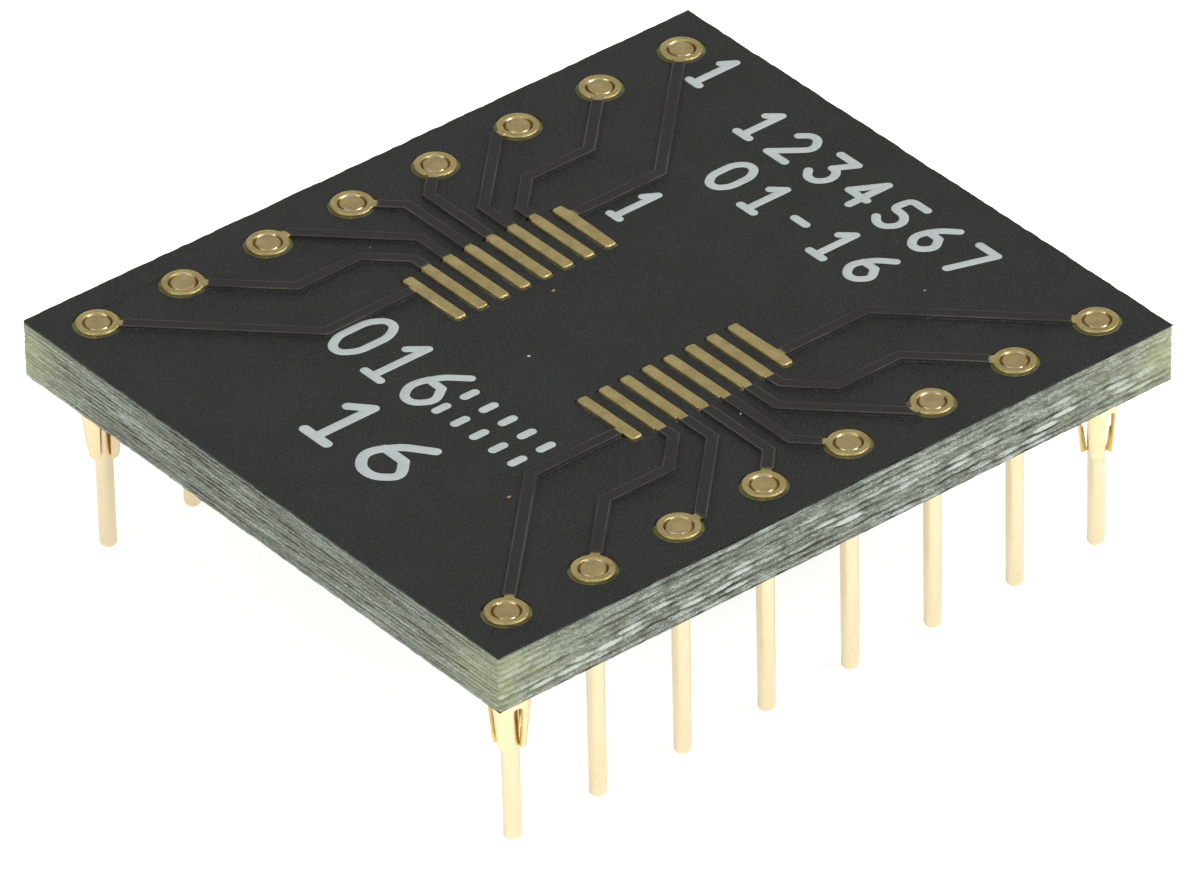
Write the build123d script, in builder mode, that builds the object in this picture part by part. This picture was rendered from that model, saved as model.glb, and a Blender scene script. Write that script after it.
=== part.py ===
import os
from math import cos, radians, sin

from build123d import *

# Adapter board: fine-pitch lands on top fan out to two rows of plug pins below.
# Millimetres. X runs along the pin rows towards pin 1, Y across them towards pin 1's row,
# Z up, and the pin tips stand on Z = 0.

# Pin rows
pin_pitch = 2.54
row_spacing = 15.24

# One kind of track for each lane, from the middle of the board outwards
track_kinds = ["slant", "lead", "shelf", "side"]
lanes = len(track_kinds)
pins_per_row = 2 * lanes

# Board
end_margin = 1.27
side_margin = 1.27
laminate_thickness = 1.5
mask_height = 0.03

# Plated copper
copper_height = 0.09
plating_height = 0.01
bore_radius = 0.35
barrel_wall = 0.05
ring_width = 0.13
ring_relief = 0.07

# Lands for the small package
land_pitch = 0.65
land_width = 0.32
land_length = 2.1
land_gap = 4.38
land_relief = 0.05
stub_relief = 0.11

# Tracks
track_width = 0.25
row_lead = 0.635
shelf_clearance = 1.425
shelf_slant = 0.915
entry_inset = 0.48
mask_side = 0.03
mask_over_track = 0.02

# Turned pins
leg_length = 4.83
leg_radius = 0.22
tip_round = 0.18
head_recess = 0.02
head_bevel = 0.035
collar_lip = 0.05
collar_height = 0.35
collar_taper = 0.1

# Four-finger spring clips on the corner pins
clip_wall = 0.1
clip_base = 0.9
finger_reach = 1.15
finger_wall = 0.07
finger_tip_wall = 0.17
finger_count = 4
pad_start = 0.55
pad_step = 0.05
slot_width = 0.26
clip_turns = {1: 40, 8: 17, 9: 32, 16: 51}

# Places that follow from the sizes above
row_end = (pins_per_row - 1) * pin_pitch / 2
board_length = 2 * (row_end + end_margin)
board_width = row_spacing + 2 * side_margin
hole_radius = bore_radius + barrel_wall
ring_radius = hole_radius + ring_width
ring_height = copper_height + plating_height
land_middle = (land_gap + land_length) / 2
land_outer = land_gap / 2 + land_length
laminate_bottom = leg_length + mask_height
laminate_top = laminate_bottom + laminate_thickness
seat = laminate_bottom - ring_height
collar_radius = bore_radius + collar_lip
pin_numbers = range(1, 2 * pins_per_row + 1)


# The centre of a pin, counted round the board as on any two-row package
def pin_place(number):
    side = 1 if number <= pins_per_row else -1
    step = (number - 1) % pins_per_row
    return side * (row_end - step * pin_pitch), side * row_spacing / 2


# A pin's lane from the middle of the board, and the quarter of the board that it is in
def pin_lane(number):
    x, y = pin_place(number)
    return int(abs(x) / pin_pitch), (1 if x > 0 else -1), (1 if y > 0 else -1)


def land_place(number):
    lane, right, far = pin_lane(number)
    return right * (lane + 0.5) * land_pitch, far * land_middle


# The centre line of a pin's track, from its ring to the middle of its land
def track_points(number):
    lane, right, far = pin_lane(number)
    pad = (lane + 0.5) * pin_pitch
    land = (lane + 0.5) * land_pitch
    row = row_spacing / 2
    shelf = land_outer + shelf_clearance
    entry = land_outer - entry_inset
    kinds = {
        "slant": [(land, row - pad + land)],
        "lead": [(pad - row_lead, row), (land, row - pad + row_lead + land)],
        "shelf": [
            (pad - row + shelf, shelf),
            (land + shelf_slant, shelf),
            (land, shelf - shelf_slant),
        ],
        "side": [(pad - row + entry, entry), (land, entry)],
    }
    points = [(pad, row)] + kinds[track_kinds[lane]]
    if track_kinds[lane] != "side":
        points.append((land, land_middle))
    return [(right * x, far * y) for x, y in points]


def draw_track(number, width):
    with BuildLine() as path:
        Polyline(*track_points(number))
    trace(path.edges(), line_width=width)


def draw_ring(number, radius):
    with Locations(pin_place(number)):
        Circle(radius)


# The opening in the mask over a land: further out where the track leaves by the land's end
def draw_land_window(number):
    lane, right, far = pin_lane(number)
    x, _ = land_place(number)
    inner = land_gap / 2 - land_relief
    outer = land_outer + (land_relief if track_kinds[lane] == "side" else stub_relief)
    with Locations((x, far * (inner + outer) / 2)):
        Rectangle(land_width + 2 * land_relief, outer - inner)


# An upright plane on a pin's axis, with its first direction turned about that axis
def pin_plane(number, turn=0):
    x, y = pin_place(number)
    c, s = cos(radians(turn)), sin(radians(turn))
    return Plane((x, y, 0), x_dir=(c, s, 0), z_dir=(s, -c, 0))


def pin_axis(number):
    x, y = pin_place(number)
    return Axis((x, y, 0), (0, 0, 1))


def save(piece, name):
    piece.part.label = name
    export_step(piece.part, f"parts/{name}.step")


# Glass-cloth laminate, drilled for the plated barrels
def make_laminate():
    with BuildPart() as laminate:
        with BuildSketch(Plane.XY.offset(laminate_bottom)):
            Rectangle(board_length, board_width)
            with Locations([pin_place(number) for number in pin_numbers]):
                Circle(hole_radius, mode=Mode.SUBTRACT)
        extrude(amount=laminate_thickness)
    return laminate


# Top mask: a thin sheet that rises over each track and opens round the rings and lands
def make_top_mask():
    with BuildPart() as mask:
        with BuildSketch(Plane.XY.offset(laminate_top)):
            Rectangle(board_length, board_width)
        extrude(amount=mask_height)
        with BuildSketch(Plane.XY.offset(laminate_top)):
            for number in pin_numbers:
                draw_track(number, track_width + 2 * mask_side)
        extrude(amount=copper_height + mask_over_track)
        with BuildSketch(Plane.XY.offset(laminate_top)):
            for number in pin_numbers:
                draw_track(number, track_width)
        extrude(amount=copper_height, mode=Mode.SUBTRACT)
        with BuildSketch(Plane.XY.offset(laminate_top)):
            for number in pin_numbers:
                draw_ring(number, ring_radius + ring_relief)
                draw_land_window(number)
        extrude(amount=copper_height + mask_over_track, mode=Mode.SUBTRACT)
    return mask


def make_bottom_mask():
    with BuildPart() as mask:
        with BuildSketch(Plane.XY.offset(leg_length)):
            Rectangle(board_length, board_width)
            with Locations([pin_place(number) for number in pin_numbers]):
                Circle(ring_radius + ring_relief, mode=Mode.SUBTRACT)
        extrude(amount=mask_height)
    return mask


# One net in plated copper: land, track, top ring, barrel and bottom ring in one piece.
# The track stays at the copper's height under the mask, and what is bare is plated higher.
def make_conductor(number):
    with BuildSketch() as bare:
        draw_ring(number, ring_radius + ring_relief)
        draw_land_window(number)
    with BuildPart() as conductor:
        for level, height in ((0, copper_height), (copper_height, plating_height)):
            with BuildSketch(Plane.XY.offset(laminate_top + level)):
                draw_track(number, track_width)
                draw_ring(number, ring_radius)
                with Locations(land_place(number)):
                    Rectangle(land_width, land_length)
                if level > 0:
                    add(bare.sketch, mode=Mode.INTERSECT)
            extrude(amount=height)
        with BuildSketch(Plane.XY.offset(laminate_bottom)):
            draw_ring(number, hole_radius)
        extrude(amount=laminate_thickness)
        with BuildSketch(Plane.XY.offset(seat)):
            draw_ring(number, ring_radius)
        extrude(amount=ring_height)
        with BuildSketch(Plane.XY.offset(seat)):
            draw_ring(number, bore_radius)
        extrude(amount=laminate_thickness + 2 * ring_height, mode=Mode.SUBTRACT)
    return conductor


# Turned pin: head in the barrel, collar against the bottom ring, round leg with a domed tip
def make_pin(number):
    head_top = laminate_top + ring_height - head_recess
    collar_bottom = seat - collar_height
    with BuildPart() as pin:
        with BuildSketch(pin_plane(number)):
            with BuildLine():
                Polyline(
                    (leg_radius - tip_round, 0),
                    (0, 0),
                    (0, head_top),
                    (bore_radius - head_bevel, head_top),
                    (bore_radius, head_top - head_bevel),
                    (bore_radius, seat),
                    (collar_radius, seat),
                    (collar_radius, collar_bottom),
                    (leg_radius, collar_bottom - collar_taper),
                    (leg_radius, tip_round),
                )
                CenterArc((leg_radius - tip_round, tip_round), tip_round, 0, -90)
            make_face()
        revolve(axis=pin_axis(number))
    return pin


# Corner clip: a sleeve pressed over the collar, slit into spring fingers that close on the leg
def make_clip(number, turn):
    clip_radius = collar_radius + clip_wall
    base_bottom = seat - clip_base
    tip = base_bottom - finger_reach
    tip_radius = leg_radius + finger_tip_wall
    pad_top = base_bottom - pad_start
    share = pad_start / finger_reach
    pad_radius = clip_radius + (tip_radius - clip_radius) * share - finger_wall
    with BuildPart() as clip:
        with BuildSketch(pin_plane(number)):
            with BuildLine():
                Polyline(
                    (collar_radius, seat),
                    (clip_radius, seat),
                    (clip_radius, base_bottom),
                    (tip_radius, tip),
                    (leg_radius, tip),
                    (pad_radius - pad_step, pad_top),
                    (pad_radius, pad_top),
                    (collar_radius, base_bottom),
                    close=True,
                )
            make_face()
        revolve(axis=pin_axis(number))
        for finger in range(finger_count):
            slot_turn = turn + 90 + 360 / finger_count * (finger + 0.5)
            with BuildSketch(pin_plane(number, slot_turn)):
                with Locations((0, base_bottom - finger_reach / 2)):
                    Rectangle(slot_width, finger_reach)
                with Locations((0, base_bottom)):
                    Circle(slot_width / 2)
            extrude(amount=2 * clip_radius, mode=Mode.SUBTRACT)
    return clip


os.makedirs("parts", exist_ok=True)
save(make_laminate(), "board_laminate")
save(make_top_mask(), "solder_mask_top")
save(make_bottom_mask(), "solder_mask_bottom")
for number in pin_numbers:
    save(make_conductor(number), f"conductor_{number:02d}")
    save(make_pin(number), f"pin_{number:02d}")
for number, turn in clip_turns.items():
    save(make_clip(number, turn), f"corner_clip_{number:02d}")
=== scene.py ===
import math
import random

import bmesh
import bpy
from mathutils import Matrix, Vector, noise


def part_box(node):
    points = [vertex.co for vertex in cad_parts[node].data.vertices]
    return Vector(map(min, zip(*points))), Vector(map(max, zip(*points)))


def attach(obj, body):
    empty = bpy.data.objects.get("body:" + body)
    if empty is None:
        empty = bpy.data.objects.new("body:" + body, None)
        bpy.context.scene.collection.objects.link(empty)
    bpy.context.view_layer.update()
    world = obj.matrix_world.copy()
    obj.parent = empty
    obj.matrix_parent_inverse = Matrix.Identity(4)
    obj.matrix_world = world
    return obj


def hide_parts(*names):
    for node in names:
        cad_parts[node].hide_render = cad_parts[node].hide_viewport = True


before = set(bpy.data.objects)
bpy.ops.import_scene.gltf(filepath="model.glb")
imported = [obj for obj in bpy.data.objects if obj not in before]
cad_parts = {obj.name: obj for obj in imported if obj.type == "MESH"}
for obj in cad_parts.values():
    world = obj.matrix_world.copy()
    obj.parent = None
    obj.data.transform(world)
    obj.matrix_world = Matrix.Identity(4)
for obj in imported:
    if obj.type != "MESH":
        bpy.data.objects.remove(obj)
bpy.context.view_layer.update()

# The pieces are modelled in millimetres and brought to metres when they are finished
mm = 0.001


def boxMm(node):
    low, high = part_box(node)
    return low / mm, high / mm


boardLow, boardHigh = boxMm("board_laminate")
maskLow, maskHigh = boxMm("solder_mask_bottom")
netLow, netHigh = boxMm("conductor_01")
pinLow, pinHigh = boxMm("pin_01")
clipTip = boxMm("corner_clip_01")[0].z

pinCount = sum(1 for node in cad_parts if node.startswith("pin_"))
pinNumbers = range(1, pinCount + 1)
clipNumbers = sorted(int(node[-2:]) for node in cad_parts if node.startswith("corner_clip_"))
maskHeight = maskHigh.z - maskLow.z
maskTop = boardHigh.z + maskHeight
ridgeTop = boxMm("solder_mask_top")[1].z
collarRadius = (pinHigh.x - pinLow.x) / 2
landLength = 2.1
landEnds = (netLow.y, netLow.y + landLength)
print("frame read:", pinCount, "pins, board", [round(v, 2) for v in boardHigh - boardLow], "mm")


def pinPlace(number):
    low, high = boxMm(f"pin_{number:02d}")
    return Vector(((low.x + high.x) / 2, (low.y + high.y) / 2, 0))


# Screen colour, 0 to 255, as the linear values that a shader takes
def screenColour(red, green, blue):
    def linear(value):
        share = value / 255
        return share / 12.92 if share <= 0.04045 else ((share + 0.055) / 1.055) ** 2.4

    return linear(red), linear(green), linear(blue), 1


# Node helpers

def addNode(tree, kind, **settings):
    node = tree.nodes.new(kind)
    for name, value in settings.items():
        setattr(node, name, value)
    return node


def setInput(tree, node, name, value):
    if isinstance(value, bpy.types.NodeSocket):
        tree.links.new(value, node.inputs[name])
    else:
        node.inputs[name].default_value = value


def mathNode(tree, operation, first, second, clamp=False):
    node = addNode(tree, "ShaderNodeMath", operation=operation, use_clamp=clamp)
    setInput(tree, node, 0, first)
    setInput(tree, node, 1, second)
    return node.outputs[0]


def mixColours(tree, factor, first, second):
    node = addNode(tree, "ShaderNodeMix", data_type="RGBA", blend_type="MIX")
    setInput(tree, node, 0, factor)
    setInput(tree, node, 6, first)
    setInput(tree, node, 7, second)
    return node.outputs[2]


def mapRange(tree, value, fromLow, fromHigh, toLow=0.0, toHigh=1.0):
    node = addNode(tree, "ShaderNodeMapRange", interpolation_type="SMOOTHSTEP")
    setInput(tree, node, "Value", value)
    limits = {"From Min": fromLow, "From Max": fromHigh, "To Min": toLow, "To Max": toHigh}
    for name, limit in limits.items():
        node.inputs[name].default_value = limit
    return node.outputs[0]


# A pattern group takes a vector and named numbers, and gives named numbers
def startGroup(name, inputs, outputs):
    group = bpy.data.node_groups.new(name, "ShaderNodeTree")
    group.interface.new_socket("Vector", in_out="INPUT", socket_type="NodeSocketVector")
    for way, labels in (("INPUT", inputs), ("OUTPUT", outputs)):
        for label in labels:
            group.interface.new_socket(label, in_out=way, socket_type="NodeSocketFloat")
    entry = addNode(group, "NodeGroupInput")
    exitNode = addNode(group, "NodeGroupOutput")
    return group, entry.outputs, exitNode


def useGroup(tree, group, **values):
    node = addNode(tree, "ShaderNodeGroup", node_tree=group)
    for name, value in values.items():
        setInput(tree, node, name, value)
    return node.outputs


# In both patterns the noise between the two "edges" is what shows
grainForm = {"detail": 3, "roughness": 0.6, "edges": (0.25, 0.75)}
dustForm = {"edges": (0.1, 0.5)}


# Fine grain: a soft mottle and a sharp grain, stretched by the vector that comes in
def makeGrainGroup():
    inputs, outputs = ("Scale", "Mottle Scale"), ("Grain", "Mottle")
    group, given, out = startGroup("fineGrain", inputs, outputs)
    for name, label in zip(inputs, outputs):
        cloud = addNode(group, "ShaderNodeTexNoise")
        cloud.inputs["Detail"].default_value = grainForm["detail"]
        cloud.inputs["Roughness"].default_value = grainForm["roughness"]
        setInput(group, cloud, "Vector", given["Vector"])
        setInput(group, cloud, "Scale", given[name])
        level = mapRange(group, cloud.outputs["Fac"], *grainForm["edges"])
        group.links.new(level, out.inputs[label])
    return group


# Dust: small round specks in a few of the cells of a cell pattern
def makeDustGroup():
    group, given, out = startGroup("dustSpecks", ("Scale", "Speck Size", "Share"), ("Specks",))
    cells = addNode(group, "ShaderNodeTexVoronoi")
    setInput(group, cells, "Vector", given["Vector"])
    setInput(group, cells, "Scale", given["Scale"])
    near = mathNode(group, "DIVIDE", cells.outputs["Distance"], given["Speck Size"])
    disc = mathNode(group, "SUBTRACT", 1.0, near, clamp=True)
    split = addNode(group, "ShaderNodeSeparateColor")
    group.links.new(cells.outputs["Color"], split.inputs[0])
    chosen = mathNode(group, "LESS_THAN", split.outputs[0], given["Share"])
    sized = mathNode(group, "MULTIPLY", disc, split.outputs[1])
    speck = mathNode(group, "MULTIPLY", sized, chosen)
    group.links.new(mapRange(group, speck, *dustForm["edges"]), out.inputs["Specks"])
    return group


grainGroup = makeGrainGroup()
dustGroup = makeDustGroup()


def addGrain(tree, place, scale, mottleScale):
    values = {"Vector": place, "Scale": scale, "Mottle Scale": mottleScale}
    return useGroup(tree, grainGroup, **values)


def addDust(tree, place, scale, size, share):
    values = {"Vector": place, "Scale": scale, "Speck Size": size, "Share": share}
    return useGroup(tree, dustGroup, **values)["Specks"]


# Object coordinates in millimetres, stretched where a pattern runs one way
def millimetres(tree, stretch=(1, 1, 1)):
    place = addNode(tree, "ShaderNodeTexCoord")
    mapping = addNode(tree, "ShaderNodeMapping")
    mapping.inputs["Scale"].default_value = [share / mm for share in stretch]
    tree.links.new(place.outputs["Object"], mapping.inputs["Vector"])
    return mapping.outputs[0]


def startMaterial(name):
    material = bpy.data.materials.new(name)
    material.use_nodes = True
    tree = material.node_tree
    return material, tree, tree.nodes["Principled BSDF"]


def addBump(tree, shader, height, depthMm):
    bump = addNode(tree, "ShaderNodeBump")
    bump.inputs["Strength"].default_value = 1
    bump.inputs["Distance"].default_value = depthMm * mm
    setInput(tree, bump, "Height", height)
    tree.links.new(bump.outputs[0], shader.inputs["Normal"])


def setRoughness(tree, shader, pattern, limits):
    tree.links.new(mapRange(tree, pattern, 0, 1, *limits), shader.inputs["Roughness"])


# Gold finishes: "shade" is the darker tone of the mottle, "depth" the height of the grain in
# millimetres and "pits" the share of cells with a pit; legs and clips have grain drawn along them
goldFinishes = {
    "platedGold": {
        "colour": (204, 185, 126), "shade": (148, 130, 80), "roughness": (0.26, 0.4),
        "metallic": 0.82, "stretch": (1, 1, 1), "grain": 30.0, "depth": 0.004, "pits": 0,
    },
    "pinGold": {
        "colour": (222, 208, 175), "shade": (217, 201, 163), "roughness": (0.28, 0.36),
        "metallic": 1, "stretch": (1, 1, 0.3), "grain": 14.0, "depth": 0.0008, "pits": 0.15,
    },
    "pinHeadGold": {
        "colour": (202, 184, 133), "shade": (158, 140, 98), "roughness": (0.5, 0.66),
        "metallic": 1, "stretch": (1, 1, 1), "grain": 30.0, "depth": 0.004, "pits": 0.12,
    },
    "clipGold": {
        "colour": (230, 214, 175), "shade": (224, 204, 158), "roughness": (0.28, 0.38),
        "metallic": 1, "stretch": (1, 1, 0.3), "grain": 12.0, "depth": 0.0008, "pits": 0.15,
    },
    # Brighter, less metallic gold for inside the clips' slots: painted light
    "litSlotGold": {
        "colour": (252, 226, 160), "shade": (244, 208, 128), "roughness": (0.4, 0.55),
        "metallic": 0.3, "stretch": (1, 1, 0.3), "grain": 12.0, "depth": 0.0015, "pits": 0.1,
    },
    "contactGold": {
        "colour": (242, 212, 122), "shade": (228, 192, 94), "roughness": (0.28, 0.42),
        "metallic": 0.75, "stretch": (1, 1, 0.3), "grain": 16.0, "depth": 0.0015, "pits": 0.1,
    },
    # Darker gold for the open part of the seam: painted shade in the gap
    "seamShadeGold": {
        "colour": (190, 152, 88), "shade": (140, 108, 58), "roughness": (0.45, 0.6),
        "metallic": 0.8, "stretch": (1, 1, 1), "grain": 30.0, "depth": 0.002, "pits": 0.1,
    },
}
goldPattern = {
    "mottleScale": 2.5, "pitScale": 2.2, "pitSize": 0.12, "pitShade": 0.5,
    "pitColour": (96, 70, 36),
}


def makeGold(name):
    finish = goldFinishes[name]
    material, tree, shader = startMaterial(name)
    place = millimetres(tree, finish["stretch"])
    grain = addGrain(tree, place, finish["grain"], goldPattern["mottleScale"])
    pits = addDust(tree, place, goldPattern["pitScale"], goldPattern["pitSize"], finish["pits"])
    shade = mathNode(tree, "MULTIPLY", grain["Mottle"], grain["Grain"])
    light, dark = screenColour(*finish["colour"]), screenColour(*finish["shade"])
    colour = mixColours(tree, shade, light, dark)
    pitShade = mathNode(tree, "MULTIPLY", pits, goldPattern["pitShade"])
    colour = mixColours(tree, pitShade, colour, screenColour(*goldPattern["pitColour"]))
    tree.links.new(colour, shader.inputs["Base Color"])
    shader.inputs["Metallic"].default_value = finish["metallic"]
    setRoughness(tree, shader, grain["Grain"], finish["roughness"])
    addBump(tree, shader, mathNode(tree, "SUBTRACT", grain["Grain"], pits), finish["depth"])
    return material


# Mask finish: four numbers in a row are a pattern's two limits and the strengths at them
maskFinish = {
    "colour": (21, 23, 21), "cloudy": (30, 32, 29), "overTrack": (39, 37, 33),
    "grain": (96, 99, 94), "grainScale": 26.0, "mottleScale": 0.6, "powder": (0.45, 1, 0, 0.42),
    # "shoulder" is a painted highlight along the shoulders of the tracks, in patches
    "shoulder": (90, 88, 81), "highlightGrain": (0.1, 0.8, 0.3, 0.9), "highlightMottle": (0.2, 0.8, 0.3, 1),
    "dust": (206, 208, 200), "dustScale": 0.8, "dustSize": 0.045, "dustShare": 0.5, "dustRise": 3,
    "roughness": (0.44, 0.6), "reflection": 0.31, "depth": 0.005,
}


def makeMask():
    finish = maskFinish
    material, tree, shader = startMaterial("solderMask")
    place = millimetres(tree)
    grain = addGrain(tree, place, finish["grainScale"], finish["mottleScale"])
    dust = addDust(tree, place, finish["dustScale"], finish["dustSize"], finish["dustShare"])
    plain, cloudy = screenColour(*finish["colour"]), screenColour(*finish["cloudy"])
    colour = mixColours(tree, grain["Mottle"], plain, cloudy)
    powder = mapRange(tree, grain["Grain"], *finish["powder"])
    colour = mixColours(tree, powder, colour, screenColour(*finish["grain"]))
    over = addNode(tree, "ShaderNodeAttribute", attribute_name="overTrack")
    colour = mixColours(tree, over.outputs["Fac"], colour, screenColour(*finish["overTrack"]))
    # Painted highlight along the shoulders of the tracks, in patches; "thin" is its share
    edge = addNode(tree, "ShaderNodeAttribute", attribute_name="shoulder")
    highlightPatches = mapRange(tree, grain["Grain"], *finish["highlightGrain"])
    thin = mathNode(tree, "MULTIPLY", edge.outputs["Fac"], highlightPatches)
    thin = mathNode(tree, "MULTIPLY", thin, mapRange(tree, grain["Mottle"], *finish["highlightMottle"]))
    colour = mixColours(tree, thin, colour, screenColour(*finish["shoulder"]))
    colour = mixColours(tree, dust, colour, screenColour(*finish["dust"]))
    tree.links.new(colour, shader.inputs["Base Color"])
    shader.inputs["Specular IOR Level"].default_value = finish["reflection"]
    setRoughness(tree, shader, grain["Grain"], finish["roughness"])
    raised = mathNode(tree, "MULTIPLY", dust, finish["dustRise"])
    addBump(tree, shader, mathNode(tree, "ADD", grain["Grain"], raised), finish["depth"])
    return material


# Laminate finish: the four tones run from the dark resin to the bright yarn, with their places
laminateFinish = {
    "tones": (
        (0, (34, 39, 27)), (0.3, (76, 82, 68)), (0.55, (114, 121, 108)), (1, (196, 205, 199)),
    ),
    "amber": (186, 195, 136), "glow": (0.5, 1), "glowTone": 0.1, "glowTint": 0.68,
    "underMask": (128, 130, 66), "roughness": 0.52, "depth": 0.012,
    "fibreStretch": (0.25, 0.25, 1), "fibreScale": 30.0, "fibreMottle": 5.0, "fibreStrength": 0.3,
    "speckleScale": 32.0, "speckleMottle": 1.1, "speckleStrength": 0.44,
}


# A pattern between 0 and 1, made to swing both ways round 0
def swing(tree, pattern, strength):
    return mathNode(tree, "MULTIPLY", mathNode(tree, "SUBTRACT", pattern, 0.5), strength)


def makeLaminateMaterial():
    finish = laminateFinish
    material, tree, shader = startMaterial("glassLaminate")
    drawn, plain = millimetres(tree, finish["fibreStretch"]), millimetres(tree)
    fibres = addGrain(tree, drawn, finish["fibreScale"], finish["fibreMottle"])
    speckle = addGrain(tree, plain, finish["speckleScale"], finish["speckleMottle"])
    weave = addNode(tree, "ShaderNodeAttribute", attribute_name="weave")
    amber = addNode(tree, "ShaderNodeAttribute", attribute_name="amber")
    ripple = swing(tree, fibres["Grain"], finish["fibreStrength"])
    crumbs = swing(tree, speckle["Grain"], finish["speckleStrength"])
    # Towards the upright corners the resin is painted lighter and yellower, a painted glow of
    # light through the resin
    patches = mapRange(tree, speckle["Mottle"], 0, 1, *finish["glow"])
    glow = mathNode(tree, "MULTIPLY", amber.outputs["Fac"], patches, clamp=True)
    lift = mathNode(tree, "MULTIPLY", glow, finish["glowTone"])
    tone = mathNode(tree, "ADD", weave.outputs["Fac"], lift)
    tone = mathNode(tree, "ADD", tone, mathNode(tree, "ADD", ripple, crumbs), clamp=True)
    ramp = addNode(tree, "ShaderNodeValToRGB")
    steps = ramp.color_ramp.elements
    steps[0].color = screenColour(*finish["tones"][0][1])
    steps[1].color = screenColour(*finish["tones"][-1][1])
    for place, tint in finish["tones"][1:-1]:
        steps.new(place).color = screenColour(*tint)
    tree.links.new(tone, ramp.inputs[0])
    tinted = mathNode(tree, "MULTIPLY", glow, finish["glowTint"])
    colour = mixColours(tree, tinted, ramp.outputs[0], screenColour(*finish["amber"]))
    # The attribute goes past 1 where resin shows in the mask's windows
    bare = mathNode(tree, "SUBTRACT", amber.outputs["Fac"], 1.0, clamp=True)
    colour = mixColours(tree, bare, colour, screenColour(*finish["underMask"]))
    tree.links.new(colour, shader.inputs["Base Color"])
    shader.inputs["Roughness"].default_value = finish["roughness"]
    relief = mathNode(tree, "ADD", fibres["Grain"], speckle["Grain"])
    addBump(tree, shader, relief, finish["depth"])
    return material


inkFinish = {
    "colour": (196, 205, 203), "thin": (176, 186, 184), "roughness": (0.4, 0.55),
    "grainScale": 14.0, "mottleScale": 1.5, "depth": 0.003,
}


def makeInk():
    finish = inkFinish
    material, tree, shader = startMaterial("legendInk")
    grain = addGrain(tree, millimetres(tree), finish["grainScale"], finish["mottleScale"])
    patchy = mathNode(tree, "MULTIPLY", grain["Mottle"], grain["Grain"])
    full, thin = screenColour(*finish["colour"]), screenColour(*finish["thin"])
    tree.links.new(mixColours(tree, patchy, full, thin), shader.inputs["Base Color"])
    setRoughness(tree, shader, grain["Grain"], finish["roughness"])
    addBump(tree, shader, grain["Grain"], finish["depth"])
    return material


materials = {name: makeGold(name) for name in goldFinishes}
materials["solderMask"] = makeMask()
materials["glassLaminate"] = makeLaminateMaterial()
materials["legendInk"] = makeInk()
print("materials made:", len(materials))


# Making and finishing a piece

# A copy of a CAD node in millimetres, its loose triangles merged into whole faces
def cadCopy(node):
    weld, flat = 0.0004, math.radians(1)
    bm = bmesh.new()
    bm.from_mesh(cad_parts[node].data)
    bmesh.ops.scale(bm, vec=(1 / mm, 1 / mm, 1 / mm), verts=bm.verts)
    bmesh.ops.remove_doubles(bm, verts=bm.verts, dist=weld)
    bmesh.ops.dissolve_limit(bm, angle_limit=flat, verts=bm.verts, edges=bm.edges)
    return bm


# Recalculated normals of a closed shell can agree and still all point inwards
def faceOutwards(bm):
    bmesh.ops.recalc_face_normals(bm, faces=bm.faces)
    if bm.calc_volume(signed=True) < 0:
        bmesh.ops.reverse_faces(bm, faces=bm.faces)


# Each item once, in the same order in every run
def inOrder(items):
    return list(dict.fromkeys(items))


def isSharp(edge, degrees=60):
    return len(edge.link_faces) == 2 and edge.calc_face_angle(0) > math.radians(degrees)


def heightOf(edge):
    return abs(edge.verts[0].co.z - edge.verts[1].co.z)


def bevelEdges(bm, edges, offset, segments):
    bmesh.ops.bevel(
        bm, geom=edges, offset=offset, offset_type="OFFSET", affect="EDGES",
        segments=segments, profile=0.5, material=-1, clamp_overlap=False,
    )
    bm.normal_update()


def finishPiece(bm, name, finishes, replaced, sharpDegrees=40, evenShading=True):
    bmesh.ops.scale(bm, vec=(mm, mm, mm), verts=bm.verts)
    mesh = bpy.data.meshes.new(name)
    bm.to_mesh(mesh)
    bm.free()
    for finish in finishes:
        mesh.materials.append(materials[finish])
    mesh.shade_smooth()
    mesh.set_sharp_from_angle(angle=math.radians(sharpDegrees))
    piece = bpy.data.objects.new(name, mesh)
    bpy.context.scene.collection.objects.link(piece)
    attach(piece, "root")
    if evenShading:
        # Large flat faces keep their own normal beside the rounded edges
        weighted = piece.modifiers.new("evenShading", "WEIGHTED_NORMAL")
        weighted.keep_sharp = True
        weighted.weight = 100
    if replaced:
        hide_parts(*replaced)


# Camera at the photograph's place, in millimetres and degrees

cameraView = {
    "lens": 380.48, "sensor": 36.0, "clipStart": 10,
    "place": (-152.615, -191.054, 175.037), "turn": (54.887, 1.033, -39.349),
}


def makeCamera():
    data = bpy.data.cameras.new("photoCamera")
    data.lens = cameraView["lens"]
    data.sensor_fit = "HORIZONTAL"
    data.sensor_width = cameraView["sensor"]
    data.clip_start = cameraView["clipStart"] * mm
    camera = bpy.data.objects.new("photoCamera", data)
    bpy.context.scene.collection.objects.link(camera)
    camera.location = Vector(cameraView["place"]) * mm
    camera.rotation_euler = [math.radians(angle) for angle in cameraView["turn"]]
    bpy.context.scene.camera = camera


makeCamera()
print("camera placed")


# Laminate: the cut edge shows the glass cloth, ply on ply, with fat yarns along one pair of sides

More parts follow.
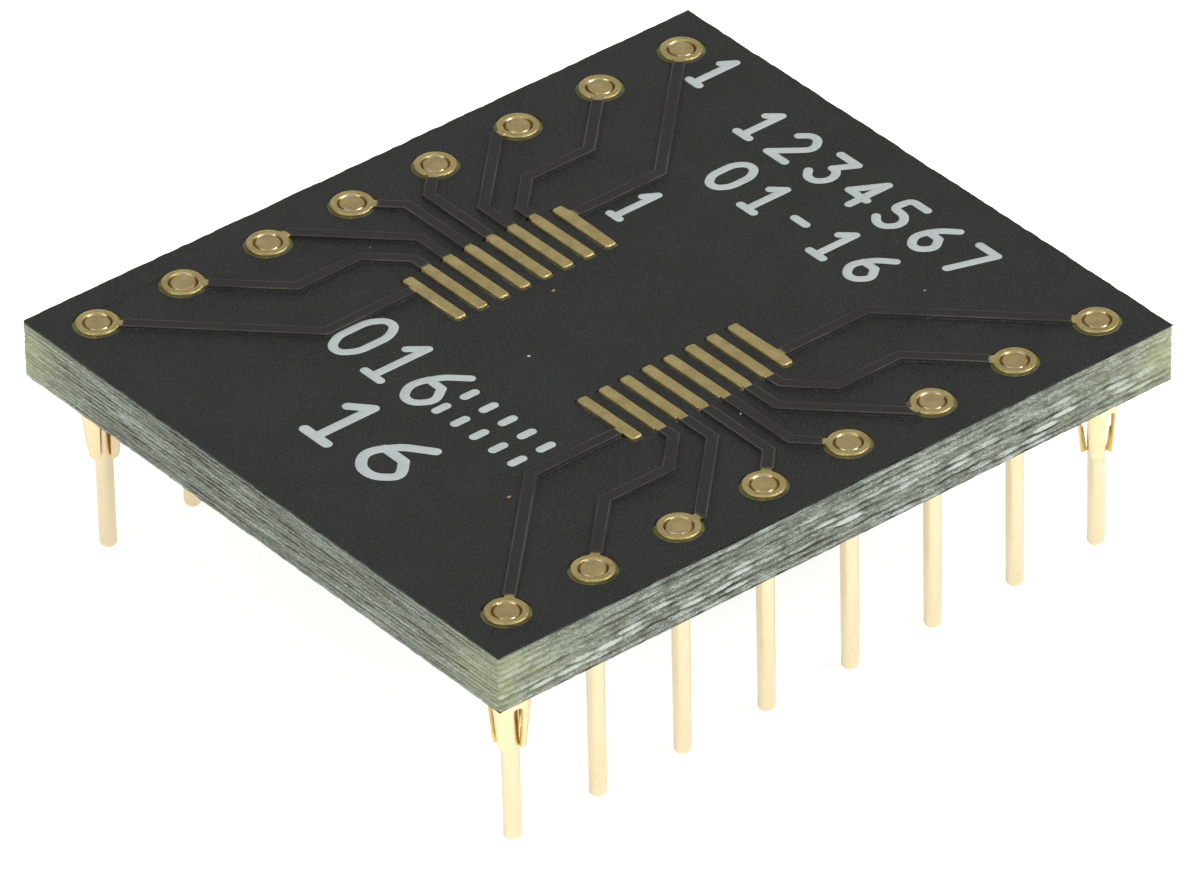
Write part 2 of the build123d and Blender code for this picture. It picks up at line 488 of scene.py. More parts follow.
laminateForm = {
    "cell": 0.055, "layers": 54, "holeRadius": 0.4, "holeSegments": 48, "seed": 7,
    "bulge": 0.012, "groove": 0.014, "fray": 0.014, "cornerRound": 0.11, "wallsApart": (40, 90),
    # Fray: share, and cells per millimetre along and up
    "frayNoise": ((1, 5, 9), (0.6, 17, 30)),
    # Yarns: drift along and up, bluntness, and half thickness where they are thin and what the
    # full ones add to it; seams likewise, and how steeply and how far they darken
    "driftAlong": 0.8, "driftUp": 1.6, "blunt": 0.6, "yarnHalf": (0.35, 0.6),
    "seamFrom": 0.62, "seamHalf": (0.4, 0.6), "seamWidth": 0.38, "seamMost": 1.2, "seamSteep": 1.5,
    # Where seams break off, and patches of tone: share, cells per millimetre along the cut and
    # per ply or millimetre up, and slice of the noise
    "seamKept": (0.55, 0.9), "breaks": ((1, 0.9, 3.7, 1.2), (0.5, 3.1, 5.3, 6.4)),
    "tone": 0.56, "seamShade": 0.78,
    "patches": ((0.12, 1.7, 7, 5.5), (0.18, 0.7, 16, 8.8), (0.16, 1.1, 33, 4.4)),
    # What the hidden faces show, and how far the corners' tone and glow reach in millimetres
    "hiddenTone": 0.35, "hiddenAmber": 2.0, "cornerTone": 0.58, "cornerFade": 0.35,
    "glowReach": 1.3, "glowUneven": 0.8, "glowScale": 0.4, "glowLeast": 0.2, "glowEdges": 0.6,
}

# Fat yarns show along the long sides, and finer ones run straight along the short ends. "shine"
# has a number for each ply from the bottom up, "run" stretches the tones along the cut, and
# "slice" and "draw" give each kind of wall its own part of the noise and its own yarns.
longCut = {
    "shine": (0.6, 1.1, 1.2, 1.2, 0.9, 0.6, 0.4, 0.3, 0.2), "yarnShine": 0.62,
    "yarnLength": 0.82, "wave": 0.045, "run": 1, "slice": 3.1, "draw": 1,
}
endCut = {
    "shine": (0.5, 0.6, 0.5, 0.7, 0.5, 0.5, 0.6, 0.4, 0.5, 0.4, 0.4, 0.3, 0.3), "yarnShine": 0.217,
    "yarnLength": 1.394, "wave": 0.012, "run": 0.4, "slice": 9.7, "draw": 5,
}


def noiseAt(x, y, z):
    return noise.noise(Vector((x, y, z)))


# Tone and relief of one point of a cut wall, from the yarns and seams of its plies
def plyPattern(along, height, cut, plyTable, seamTable):
    form = laminateForm
    plies = len(plyTable)
    pitch = (boardHigh.z - boardLow.z) / plies
    drift = noiseAt(along * form["driftAlong"], height * form["driftUp"], cut["slice"])
    level = (height + cut["wave"] * drift) / pitch
    ply = min(max(int(level), 0), plies - 1)
    across = abs(level - ply - 0.5) * 2
    start, strength = plyTable[ply]
    step = (along + start) / cut["yarnLength"]
    cell = math.floor(step)
    fullness = math.sin(math.pi * (step - cell)) ** form["blunt"]
    draw = random.Random(cell * 131 + ply * 17 + cut["draw"]).random()
    thin, more = form["yarnHalf"]
    inside = max(0.0, 1 - (across / (thin + more * fullness)) ** 3)
    bright = inside * fullness * draw ** 3 * strength
    # The seam between two plies is wider where the yarns are thin, and breaks off here and there
    thin, more = form["seamHalf"]
    past = (across - form["seamFrom"] * (thin + more * fullness)) / form["seamWidth"]
    seam = min(max(0.0, past), form["seamMost"]) ** form["seamSteep"]
    seam *= seamTable[min(int(level + 0.5), plies - 1)]
    breaks = 0
    for share, perLength, perPly, layer in form["breaks"]:
        breaks += share * noiseAt(along * perLength, round(level) * perPly, layer)
    kept, swingOver = form["seamKept"]
    seam *= max(0.0, kept + swingOver * breaks)
    tone = form["tone"] + cut["yarnShine"] * bright - form["seamShade"] * seam
    for share, perLength, perHeight, layer in form["patches"]:
        tone += share * noiseAt(along * cut["run"] * perLength, height * perHeight, layer)
    relief = form["bulge"] * (inside * fullness - 0.5) - form["groove"] * seam
    return tone, relief


def drawPlies(dice, cut):
    plyTable = [(dice.uniform(0, 3), dice.uniform(0.8, 1.2) * share) for share in cut["shine"]]
    seamTable = [dice.uniform(0.35, 1.25) for share in cut["shine"]]
    return cut, plyTable, seamTable


# The walls in thin layers, with the drilled bottom and top faces
def growLaminate(bm, size):
    form = laminateForm
    corners = [bm.verts.new((x * size.x / 2, y * size.y / 2, boardLow.z))
               for x, y in ((-1, -1), (1, -1), (1, 1), (-1, 1))]
    sides = [bm.edges.new((corners[i], corners[(i + 1) % 4])) for i in range(4)]
    for pair, length in ((sides[0::2], size.x), (sides[1::2], size.y)):
        bmesh.ops.subdivide_edges(bm, edges=pair, cuts=round(length / form["cell"]))
    outline = list(bm.edges)
    holes = []
    for number in pinNumbers:
        made = bmesh.ops.create_circle(
            bm, cap_ends=False, segments=form["holeSegments"], radius=form["holeRadius"],
            matrix=Matrix.Translation(pinPlace(number) + Vector((0, 0, boardLow.z))),
        )
        holes += inOrder(edge for vert in made["verts"] for edge in vert.link_edges)
    bmesh.ops.triangle_fill(bm, use_beauty=False, use_dissolve=False, edges=outline + holes)

    def raiseEdges(edges, rise):
        grown = bmesh.ops.extrude_edge_only(bm, edges=edges)["geom"]
        verts = [item for item in grown if isinstance(item, bmesh.types.BMVert)]
        bmesh.ops.translate(bm, vec=(0, 0, rise), verts=verts)
        return [item for item in grown if isinstance(item, bmesh.types.BMEdge)]

    holeTops = raiseEdges(holes, size.z)
    ring = outline
    for layer in range(form["layers"]):
        ring = raiseEdges(ring, size.z / form["layers"])
    bmesh.ops.triangle_fill(bm, use_beauty=False, use_dissolve=False, edges=ring + holeTops)
    faceOutwards(bm)


def makeLaminate():
    form = laminateForm
    dice = random.Random(form["seed"])
    cuts = {onSide: drawPlies(dice, cut) for onSide, cut in ((True, longCut), (False, endCut))}
    size = boardHigh - boardLow
    bm = bmesh.new()
    growLaminate(bm, size)
    weave = bm.verts.layers.float.new("weave")
    amber = bm.verts.layers.float.new("amber")
    halfX, halfY, arc = size.x / 2, size.y / 2, form["cornerRound"]
    opposite, ends = form["wallsApart"]
    for vert in bm.verts:
        x, y, z = vert.co
        vert[weave] = form["hiddenTone"]
        vert[amber] = form["hiddenAmber"]
        onEnd = abs(abs(x) - halfX) < 1e-4
        onSide = abs(abs(y) - halfY) < 1e-4
        if not (onEnd or onSide):
            continue
        # The four walls lie far apart in the noise, so that no two are alike
        along = x + opposite * (y > 0) if onSide else y + ends + opposite * (x > 0)
        height = z - boardLow.z
        tone, relief = plyPattern(along, height, *cuts[onSide])
        toCorner = 0
        if onEnd != onSide:
            toCorner = halfX - abs(x) if onSide else halfY - abs(y)
        fray = 0
        for share, perLength, perHeight in form["frayNoise"]:
            fray += share * noiseAt(x * perLength, y * perLength, z * perHeight)
        out = relief + form["fray"] * fray
        # Past the corner's start the wall goes round an arc, and elsewhere straight on
        turn = max(0.0, 1 - toCorner / arc) * math.pi / 4
        if turn > 0:
            way = Vector((math.cos(turn), math.sin(turn)))
            spot = Vector((halfX - arc, halfY - arc)) + (arc + out) * (way if onEnd else way.yx)
            vert.co.x, vert.co.y = math.copysign(spot.x, x), math.copysign(spot.y, y)
        elif onEnd:
            vert.co.x += math.copysign(1, x) * out
        else:
            vert.co.y += math.copysign(1, y) * out
        # Near the upright corners the cloth shows less and the resin gets a painted glow
        fade = form["cornerFade"] * math.exp(-toCorner)
        vert[weave] = tone + (form["cornerTone"] - tone) * fade
        uneven = noiseAt(x * form["glowScale"], y * form["glowScale"], z)
        reach = form["glowReach"] + form["glowUneven"] * uneven
        glow = math.exp(-toCorner / max(reach, form["glowLeast"]))
        edges = form["glowEdges"]
        vert[amber] = glow * (edges + (1 - edges) * math.sin(math.pi * height / size.z))
    finishPiece(
        bm, "laminate_cloth", ["glassLaminate"], ["board_laminate"],
        sharpDegrees=80, evenShading=False,
    )


makeLaminate()
print("laminate made")


# Top mask: the sheet that climbs over the tracks, with soft shoulders and a ragged sawn rim

maskForm = {
    # The band and the height from which the mask's shoulders get their painted highlight
    "shoulder": 0.022, "shoulderSegments": 3, "foot": 0.03, "footSegments": 2, "highlightBand": 0.025,
    "rimCell": 0.07, "ragged": 0.035, "setBack": 0.025, "highlightFrom": 0.85,
    # Bites and nibbles in the rim: cells per millimetre and slice of the noise
    "bites": (3.3, 1.5), "biteMore": 0.25, "nibbles": (11, 2.5), "nibbleShare": 0.4,
    "landRelief": 0.05, "windowRound": 0.12, "windowSegments": 4,
}


def raggedRim(bm, setBack=0.0):
    form = maskForm
    size = boardHigh - boardLow
    near = 1e-3

    def onRim(edge, axis, sign):
        return all(abs(sign * v.co[axis] - size[axis] / 2) < near for v in edge.verts)

    # One side at a time, as two cut edges in one large face would cut the face through
    cuts = round(size.x / form["rimCell"])
    for axis, sign in ((0, 1), (0, -1), (1, 1), (1, -1)):
        rim = [e for e in bm.edges if e.calc_length() > 1 and onRim(e, axis, sign)]
        bmesh.ops.subdivide_edges(bm, edges=rim, cuts=cuts, use_grid_fill=True)
    for vert in bm.verts:
        x, y, z = vert.co
        onEnd = abs(abs(x) - size.x / 2) < near
        onSide = abs(abs(y) - size.y / 2) < near
        large, small = (noiseAt(x * perLength, y * perLength, layer)
                        for perLength, layer in (form["bites"], form["nibbles"]))
        bite = setBack + form["ragged"] * max(0.0, large + form["biteMore"])
        bite += form["ragged"] * form["nibbleShare"] * abs(small)
        if onEnd:
            vert.co.x -= math.copysign(bite, x)
        if onSide:
            vert.co.y -= math.copysign(bite, y)


def makeTopMask():
    bm = cadCopy("solder_mask_top")
    over = bm.verts.layers.float.new("overTrack")
    shoulder = bm.verts.layers.float.new("shoulder")
    near = 1e-3

    def atHeight(edge, height):
        return isSharp(edge) and all(abs(v.co.z - height) < near for v in edge.verts)

    # The windows' free corners are round, as the lands' are
    windowEnds = (landEnds[0] - maskForm["landRelief"], landEnds[1] + maskForm["landRelief"])
    windowCorners = [
        e for e in bm.edges
        if isSharp(e) and not e.is_convex and heightOf(e) > maskHeight / 2
        and any(abs(abs(e.verts[0].co.y) - end) < near for end in windowEnds)
    ]
    bevelEdges(bm, windowCorners, maskForm["windowRound"], maskForm["windowSegments"])
    raggedRim(bm)
    shoulders = [e for e in bm.edges if e.is_convex and atHeight(e, ridgeTop)]
    bevelEdges(bm, shoulders, maskForm["shoulder"], maskForm["shoulderSegments"])
    feet = [e for e in bm.edges if not e.is_convex and atHeight(e, maskTop)]
    bevelEdges(bm, feet, maskForm["foot"], maskForm["footSegments"])
    ridges = [
        f for f in bm.faces
        if f.normal.z > 0.99 and abs(f.calc_center_median().z - ridgeTop) < near
    ]
    bmesh.ops.inset_region(bm, faces=ridges, thickness=maskForm["highlightBand"], use_even_offset=True)
    for vert in bm.verts:
        rise = (vert.co.z - maskTop) / (ridgeTop - maskTop)
        vert[over] = min(max(rise, 0.0), 1.0)
        vert[shoulder] = 1.0 if rise > maskForm["highlightFrom"] else 0.0
    # Only the band along each shoulder gets the painted highlight, not the middle of the ridge
    for face in ridges:
        for vert in face.verts:
            vert[shoulder] = 0.0
    finishPiece(
        bm, "mask_over_tracks", ["solderMask"], ["solder_mask_top"],
        sharpDegrees=50,
    )


def makeBottomMask():
    bm = cadCopy("solder_mask_bottom")
    raggedRim(bm, maskForm["setBack"])
    finishPiece(
        bm, "mask_underside", ["solderMask"], ["solder_mask_bottom"],
        sharpDegrees=50,
    )


makeTopMask()
makeBottomMask()
print("masks made")


# Plated nets: each copper edge is rounded by the plating

# "bridge" is a weld that takes the plating's small step out of the copper's sides
netForm = {
    "edgeRound": 0.048, "cornerRound": 0.08, "segments": 4, "bridge": 0.0105, "cornerHeight": 0.05,
    "nearEnd": 0.01, "nearLevel": 2e-3,
}


def makeNet(number):
    form = netForm
    node = f"conductor_{number:02d}"
    bm = cadCopy(node)
    bmesh.ops.remove_doubles(bm, verts=bm.verts, dist=form["bridge"])
    corners = [
        e for e in bm.edges
        if isSharp(e) and e.is_convex and heightOf(e) > form["cornerHeight"]
        and any(abs(abs(e.verts[0].co.y) - end) < form["nearEnd"] for end in landEnds)
    ]
    bevelEdges(bm, corners, form["cornerRound"], form["segments"])

    def atLevel(edge, level):
        return all(abs(v.co.z - level) < form["nearLevel"] for v in edge.verts)

    edges = [
        e for e in bm.edges
        if isSharp(e) and e.is_convex and (atLevel(e, netHigh.z) or atLevel(e, netLow.z))
    ]
    bevelEdges(bm, edges, form["edgeRound"], form["segments"])
    finishPiece(bm, f"plated_net_{number:02d}", ["platedGold"], [node])


for number in pinNumbers:
    makeNet(number)
print("nets made")


# Turned pins: domed leg, collar, and a head pressed into the barrel with an uneven seam round it

pinForm = {
    "legRadius": 0.22, "boreRadius": 0.35, "tipRound": 0.19, "tipSegments": 8, "steps": 56,
    "taper": 0.1, "collarHeight": 0.35, "collarRound": 0.02, "collarSegments": 2,
    # The head's rim, and the seam inside it: how wide, how deep open and how deep smeared shut
    "bevelHeight": 0.01, "bevelWidth": 0.008, "lipWidth": 0.006, "rimWidth": 0.02,
    "seamWidth": 0.036, "seamDepth": 0.06, "smear": 0.02,
    # Where the seam opens: turn and its spread in radians, two-sided, one-sided and ragged share
    "seed": 21, "turn": -0.66, "spread": 0.4, "shares": (0.5, 0.1, 0.5), "contrast": (1.7, -0.45),
    # The last number is how far open the seam must be before it gets its painted shade
    "pullIn": 0.07, "seamShadeFrom": 0.35,
    # Bands below the head's top and inside the seam in which points and faces are picked
    "topBand": 0.02, "headBand": 0.1, "rimBand": 0.005, "faceBand": 0.002,
}


def makePin(number):
    form = pinForm
    node = f"pin_{number:02d}"
    place = pinPlace(number)
    top, seat = pinHigh.z, netLow.z
    collarBottom = seat - form["collarHeight"]
    bore = form["boreRadius"]
    seamOut = bore - form["lipWidth"]
    seamIn = seamOut - form["seamWidth"]
    outline = [
        (0, 0), (form["legRadius"], 0), (form["legRadius"], collarBottom - form["taper"]),
        (collarRadius, collarBottom), (collarRadius, seat), (bore, seat),
        (bore, top - form["bevelHeight"]), (bore - form["bevelWidth"], top), (seamOut, top),
        ((seamOut + seamIn) / 2, top), (seamIn, top), (seamIn - form["rimWidth"], top), (0, top),
    ]
    bm = bmesh.new()
    verts = [bm.verts.new((r, 0, z)) for r, z in outline]
    edges = [bm.edges.new(pair) for pair in zip(verts, verts[1:])]
    bmesh.ops.spin(
        bm, geom=verts + edges, cent=(0, 0, 0), axis=(0, 0, 1), dvec=(0, 0, 0),
        angle=2 * math.pi, steps=form["steps"], use_merge=True, use_duplicate=False,
    )
    bmesh.ops.remove_doubles(bm, verts=bm.verts, dist=1e-5)
    faceOutwards(bm)
    near = 1e-4
    tipEdges = [e for e in bm.edges if isSharp(e) and all(abs(v.co.z) < near for v in e.verts)]
    bevelEdges(bm, tipEdges, form["tipRound"], form["tipSegments"])
    collarEdges = [
        e for e in bm.edges
        if isSharp(e, 25) and all(collarBottom - near < v.co.z < seat + near for v in e.verts)
        and all(abs(v.co.xy.length - collarRadius) < near for v in e.verts)
        and heightOf(e) < near
    ]
    bevelEdges(bm, collarEdges, form["collarRound"], form["collarSegments"])
    dice = random.Random(form["seed"] + number)
    phase = dice.uniform(-form["spread"], form["spread"]) + form["turn"]
    wobble = dice.uniform(0, 50)
    twoSided, oneSided, ragged = form["shares"]
    steep, shift = form["contrast"]

    # The seam opens on two opposite sides and is smeared shut between them
    def opening(spot):
        way = spot.xy.normalized()
        turn = math.atan2(way.y, way.x) - phase
        share = 0.5 + twoSided * math.cos(2 * turn) + oneSided * math.cos(turn)
        share += ragged * noiseAt(way.x * 2, way.y * 2, wobble)
        return min(1.0, max(0.0, steep * share + shift))

    for vert in bm.verts:
        radius = vert.co.xy.length
        if vert.co.z < top - form["topBand"] or radius < near:
            continue
        share = opening(vert.co)
        if seamIn + near < radius < seamOut - near:
            vert.co.z -= form["smear"] + (form["seamDepth"] - form["smear"]) * share
        elif seamIn - form["rimBand"] < radius < seamOut - near:
            vert.co.xy *= 1 - form["pullIn"] * share
    for face in bm.faces:
        middle = face.calc_center_median()
        if middle.z <= top - form["headBand"]:
            continue
        if middle.xy.length < seamIn - form["faceBand"]:
            face.material_index = 1
        # Where the seam is open its faces take the darker seam gold, painted shade in the gap
        elif opening(middle) > form["seamShadeFrom"]:
            face.material_index = 2
    bmesh.ops.translate(bm, vec=place, verts=bm.verts)
    name = f"turned_pin_{number:02d}"
    finishes = ["pinGold", "pinHeadGold", "seamShadeGold"]
    finishPiece(bm, name, finishes, [node], sharpDegrees=35)


for number in pinNumbers:
    makePin(number)
print("pins made")


# Corner clips: stamped fingers with round ends and a thicker contact inside

# "reach" is the fingers' length and "sideShare" brings a finger's round wall to its flat sides
clipForm = {
    "endRound": 0.09, "endSegments": 4, "edgeRound": 0.012, "edgeSegments": 2,
    "radius": 0.5, "tipRadius": 0.39, "reach": 1.15, "slotTop": 0.2,
    "fingerWall": 0.07, "padHeight": 0.61, "sideShare": 0.93,
    # Which faces are pad and which are slot: limits to the cosine of the way they lie or look
    "padFacing": 0.71, "slotFacing": 0.6, "nearTip": 2e-3, "leastWall": 0.05,
}


# Everything on a finger that lies inside its wall is the contact pad, with a finish of its own
def markPad(bm, direction, tip):
    form = clipForm
    outward = Vector((direction.x, direction.y, 0))
    low = outward * (form["tipRadius"] - form["fingerWall"]) * form["sideShare"]
    high = outward * (form["radius"] - form["fingerWall"]) * form["sideShare"]
    low += Vector((0, 0, tip))
    high += Vector((0, 0, tip + form["reach"]))
    side = Vector((-direction.y, direction.x, 0))
    normal = side.cross(high - low).normalized()
    if normal.dot(outward) < 0:
        normal.negate()

    def onPad(face):
        middle = face.calc_center_median()
        facing = middle.xy.normalized().dot(direction)
        return middle.z < tip + form["padHeight"] and facing > form["padFacing"]

    faces = [face for face in bm.faces if onPad(face)]
    edges = inOrder(edge for face in faces for edge in face.edges)
    verts = inOrder(vert for face in faces for vert in face.verts)
    geometry = verts + edges + faces
    bmesh.ops.bisect_plane(bm, geom=geometry, dist=1e-5, plane_co=low, plane_no=normal)
    for face in bm.faces:
        if onPad(face) and normal.dot(face.calc_center_median() - low) < 0:
            face.material_index = 1


def makeClip(number):
    form = clipForm
    node = f"corner_clip_{number:02d}"
    bm = cadCopy(node)
    place = pinPlace(number)
    bmesh.ops.translate(bm, vec=-place, verts=bm.verts)
    tip = clipTip
    bm.normal_update()

    def atTip(spot):
        return abs(spot.z - tip) < form["nearTip"]

    undersides = [f.calc_center_median() for f in bm.faces if f.normal.z < -0.9]
    directions = [middle.xy.normalized() for middle in undersides if atTip(middle)]
    ends = []
    for edge in bm.edges:
        a, b = (v.co for v in edge.verts)
        wall = abs(a.xy.length - b.xy.length)
        if atTip(a) and atTip(b) and isSharp(edge) and wall > form["leastWall"]:
            ends.append(edge)
    bevelEdges(bm, ends, form["endRound"], form["endSegments"])
    convex = [e for e in bm.edges if isSharp(e, 50) and e.is_convex]
    bevelEdges(bm, convex, form["edgeRound"], form["edgeSegments"])
    # The walls of the slots and the inside, up to a little above the slots, take a brighter, less
    # metallic gold: painted light inside the slots
    for face in bm.faces:
        middle = face.calc_center_median()
        outwards = face.normal.xy.dot(middle.xy.normalized())
        if middle.z < tip + form["reach"] + form["slotTop"] and outwards < form["slotFacing"]:
            face.material_index = 2
    for direction in directions:
        markPad(bm, direction, tip)
    bmesh.ops.translate(bm, vec=place, verts=bm.verts)
    name = f"spring_clip_{number:02d}"
    finishes = ["clipGold", "contactGold", "litSlotGold"]
    finishPiece(bm, name, finishes, [node], sharpDegrees=35)


for number in clipNumbers:
    makeClip(number)
print("clips made")


# Printed legend: stroked numerals, read from the board's right end, and plain dashes

# Pen strokes on a cell that is 1 wide and 1.5 high; "close" joins a stroke's end to its start
strokes = {
    "0": [[(0.3, 0), (0, 0.35), (0, 1.15), (0.3, 1.5), (0.7, 1.5), (1, 1.15), (1, 0.35), (0.7, 0),
           "close"]],
    "1": [[(0.15, 1.15), (0.55, 1.5)], [(0.55, 1.5), (0.55, 0)], [(0.2, 0), (0.9, 0)]],
    "2": [[(0, 1.2), (0.3, 1.5), (0.7, 1.5), (1, 1.2), (1, 0.95), (0, 0)], [(0, 0), (1, 0)]],
    "3": [[(0, 1.5), (1, 1.5)], [(1, 1.5), (0.5, 0.85)],
          [(0.5, 0.85), (0.75, 0.85), (1, 0.6), (1, 0.3), (0.7, 0), (0.3, 0), (0, 0.25)]],
    "4": [[(0.75, 0), (0.75, 1.5)], [(0.75, 1.5), (0, 0.5)], [(0, 0.5), (1, 0.5)]],
    "5": [[(1, 1.5), (0.1, 1.5), (0, 0.85), (0.65, 0.85), (1, 0.6), (1, 0.3), (0.7, 0), (0.3, 0),
           (0, 0.2)]],
    "6": [[(0.85, 1.5), (0.3, 1.1), (0, 0.6), (0, 0.3), (0.3, 0), (0.7, 0), (1, 0.3), (1, 0.5),
           (0.7, 0.8)],
          [(0.7, 0.8), (0.1, 0.8)]],
    "7": [[(0, 1.5), (1, 1.5)], [(1, 1.5), (0.35, 0)]],
    "-": [[(0.2, 0.75), (0.8, 0.75)]],
}

# Sizes in millimetres. "start" is the lower left corner of a line, as it is read from the right
# end; each further stroke of a numeral lies higher by "overlap", so that no two tops coincide.
legendForm = {
    "cellHeight": 1.5, "rise": 0.013, "overlap": 0.0006, "tubeSegments": 5,
    # A corner's curve: how far it reaches, in pens and as a share of each arm, and its points
    "cornerReach": 1.5, "armShare": 0.45, "cornerSteps": (0, 0.25, 0.5, 0.75, 1),
    "endAngles": (18, 36, 54, 72, 88),
    "lines": [
        {"text": "1", "start": (8.11, 6.74), "height": 1.54, "width": 0.75, "advance": 1.27,
         "pen": 0.115},
        {"text": "1", "start": (3.03, 3.55), "height": 1.56, "width": 0.72, "advance": 1.27,
         "pen": 0.11},
        {"text": "1234567", "start": (7.55, 4.3), "height": 1.45, "width": 0.86, "advance": 1.27,
         "pen": 0.115},
        {"text": "01-16", "start": (5.6, 3.1), "height": 1.45, "width": 0.9, "advance": 1.27,
         "pen": 0.115},
        {"text": "016", "start": (-5.45, 3.65), "height": 1.9, "width": 1.05, "advance": 1.35,
         "pen": 0.12},
        {"text": "16", "start": (-8.0, 1.45), "height": 2.0, "width": 1.45, "advance": 1.95,
         "pen": 0.14},
    ],
    "dashes": {
        "columns": (-4.95, -4.1), "rows": (-0.35, -1.05, -1.75, -2.45, -3.15),
        "length": 0.42, "pen": 0.12,
    },
}


# A pen stroke is a tube with round ends along its points, pressed flat on the board
def penStroke(points, pen, closed):
    curve = bpy.data.curves.new("penStroke", "CURVE")
    curve.dimensions = "3D"
    curve.bevel_depth = pen
    curve.bevel_resolution = legendForm["tubeSegments"]
    curve.use_fill_caps = True
    path = [(Vector((x, y, 0)), 1.0) for x, y in points]
    if not closed:
        # Rings that close round each end
        ends = []
        for here, there in ((path[0][0], path[1][0]), (path[-1][0], path[-2][0])):
            out = (here - there).normalized()
            turns = [math.radians(angle) for angle in legendForm["endAngles"]]
            ends.append([(here + out * pen * math.sin(turn), math.cos(turn)) for turn in turns])
        path = ends[0][::-1] + path + ends[1]
    spline = curve.splines.new("POLY")
    spline.points.add(len(path) - 1)
    for point, (place, radius) in zip(spline.points, path):
        point.co = (*place, 1)
        point.radius = radius
    spline.use_cyclic_u = closed
    holder = bpy.data.objects.new("penStroke", curve)
    mesh = bpy.data.meshes.new_from_object(holder)
    bpy.data.objects.remove(holder)
    bpy.data.curves.remove(curve)
    return mesh


# Each corner of a stroke becomes a short curve
def softenCorners(points, reach, closed):
    count = len(points)
    soft = []
    for i, here in enumerate(points):
        if not closed and i in (0, count - 1):
            soft.append(here)
            continue
        arms = []
        for other in (points[i - 1], points[(i + 1) % count]):
            arm = other - here
            most = legendForm["armShare"] * arm.length
            arms.append(here + arm.normalized() * min(reach, most))
        for share in legendForm["cornerSteps"]:
            soft.append(arms[0].lerp(here, share).lerp(here.lerp(arms[1], share), share))
    return soft


def layStroke(bm, points, pen, closed=False, order=0):
    form = legendForm
    corners = [Vector(point) for point in points]
    mesh = penStroke(softenCorners(corners, form["cornerReach"] * pen, closed), pen, closed)
    stroke = bmesh.new()
    stroke.from_mesh(mesh)
    # The weld joins the end caps to the tube
    bmesh.ops.remove_doubles(stroke, verts=stroke.verts, dist=1e-5)
    faceOutwards(stroke)
    stroke.to_mesh(mesh)
    stroke.free()
    flatten = Matrix.Diagonal((1, 1, (form["rise"] + form["overlap"] * order) / pen, 1))
    mesh.transform(Matrix.Translation((0, 0, maskTop)) @ flatten)
    bm.from_mesh(mesh)
    bpy.data.meshes.remove(mesh)


# A line of signs runs along -Y and stands up along +X
def layLine(bm, row):
    startX, startY = row["start"]
    pen = row["pen"]
    high = (row["height"] - 2 * pen) / legendForm["cellHeight"]
    wide = row["width"] - 2 * pen
    for place, sign in enumerate(row["text"]):
        baseX, baseY = startX + pen, startY - pen - place * row["advance"]
        for order, line in enumerate(strokes[sign]):
            points = [(baseX + p[1] * high, baseY - p[0] * wide) for p in line if p != "close"]
            layStroke(bm, points, pen, line[-1] == "close", order)


def makeLegend():
    bm = bmesh.new()
    for row in legendForm["lines"]:
        layLine(bm, row)
    dashes = legendForm["dashes"]
    half = (dashes["length"] - dashes["pen"]) / 2
    for y in dashes["rows"]:
        for x in dashes["columns"]:
            layStroke(bm, [(x - half, y), (x + half, y)], dashes["pen"])
    finishPiece(bm, "board_legend", ["legendInk"], [], sharpDegrees=60)


makeLegend()
print("legend made")


# Stray specks of plating on the mask

speckForm = {
    "places": ((0.06, 1.68), (-3.1, 3.93), (-6.0, -4.14)), "radius": 0.05, "spread": (0.7, 1.2),
    "narrow": 0.7, "flat": 0.4, "lumps": 0.3, "lumpScale": 25, "seed": 5,
}


def makeSpecks():
    form = speckForm
    dice = random.Random(form["seed"])
    bm = bmesh.new()
    for x, y in form["places"]:
        size = form["radius"] * dice.uniform(*form["spread"])
        shape = Matrix.Diagonal((size, size * form["narrow"], size * form["flat"], 1))
        place = Matrix.Translation((x, y, maskTop)) @ shape
        made = bmesh.ops.create_icosphere(bm, subdivisions=3, radius=1, matrix=place)
        for vert in made["verts"]:
            vert.co += form["lumps"] * size * noise.noise_vector(vert.co * form["lumpScale"])
    finishPiece(bm, "plating_specks", ["platedGold"], [], sharpDegrees=60)


makeSpecks()
print("specks made")


# Floor and light

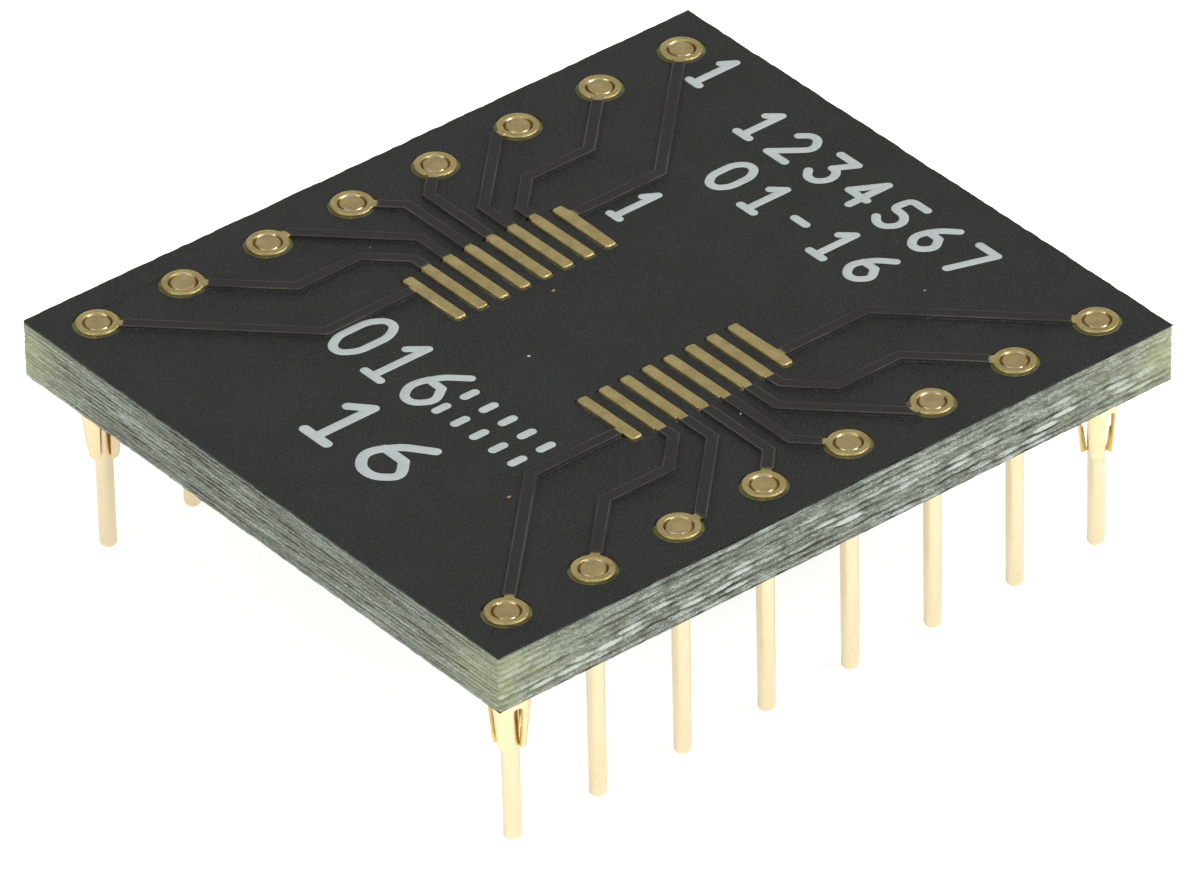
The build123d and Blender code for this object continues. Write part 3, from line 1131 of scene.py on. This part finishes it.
# Metres and watts
studio = {
    "floorColour": (246, 246, 244), "floorSize": 4.0, "floorGlow": 0.8, "floorRoughness": 0.9,
    "patchScales": (0.02, 0.004), "patchShare": 0.05, "patchColour": (0.8, 0.8, 0.8, 1),
    "world": 0.45,
    "lights": {
        "rightSoftbox": {"place": (0.25, -0.55, 0.32), "size": 0.35, "power": 1.1},
        "leftSoftbox": {"place": (-0.60, -0.05, 0.30), "size": 0.30, "power": 0.8},
        "topSoftbox": {"place": (-0.10, 0.05, 0.70), "size": 0.45, "power": 0.6},
        "edgeSoftbox": {"place": (0.38, -0.38, 0.50), "size": 0.28, "power": 1.5},
        "backSoftbox": {"place": (0.90, 1.50, 0.22), "size": 0.42, "power": 0.6},
    },
}


def makeStudio():
    bm = bmesh.new()
    bmesh.ops.create_grid(bm, x_segments=1, y_segments=1, size=studio["floorSize"] / 2)
    mesh = bpy.data.meshes.new("floor")
    bm.to_mesh(mesh)
    bm.free()
    material, tree, shader = startMaterial("paleFloor")
    grain = addGrain(tree, millimetres(tree), *studio["patchScales"])
    colour = screenColour(*studio["floorColour"])
    patches = mathNode(tree, "MULTIPLY", grain["Mottle"], studio["patchShare"])
    patchy = mixColours(tree, patches, colour, studio["patchColour"])
    tree.links.new(patchy, shader.inputs["Base Color"])
    shader.inputs["Roughness"].default_value = studio["floorRoughness"]
    shader.inputs["Specular IOR Level"].default_value = 0
    shader.inputs["Emission Color"].default_value = colour
    shader.inputs["Emission Strength"].default_value = studio["floorGlow"]
    mesh.materials.append(material)
    floor = bpy.data.objects.new("floor", mesh)
    bpy.context.scene.collection.objects.link(floor)
    world = bpy.data.worlds.new("studioWorld")
    world.use_nodes = True
    background = world.node_tree.nodes["Background"]
    background.inputs["Color"].default_value = (1, 1, 1, 1)
    background.inputs["Strength"].default_value = studio["world"]
    bpy.context.scene.world = world
    aim = Vector((0, 0, boardHigh.z * mm))
    for name, light in studio["lights"].items():
        data = bpy.data.lights.new(name, "AREA")
        data.shape = "SQUARE"
        data.size = light["size"]
        data.energy = light["power"]
        lamp = bpy.data.objects.new(name, data)
        lamp.location = light["place"]
        lamp.rotation_euler = (aim - lamp.location).to_track_quat("-Z", "Y").to_euler()
        bpy.context.scene.collection.objects.link(lamp)
    bpy.context.scene.view_settings.view_transform = "Standard"


makeStudio()
print("studio lit")
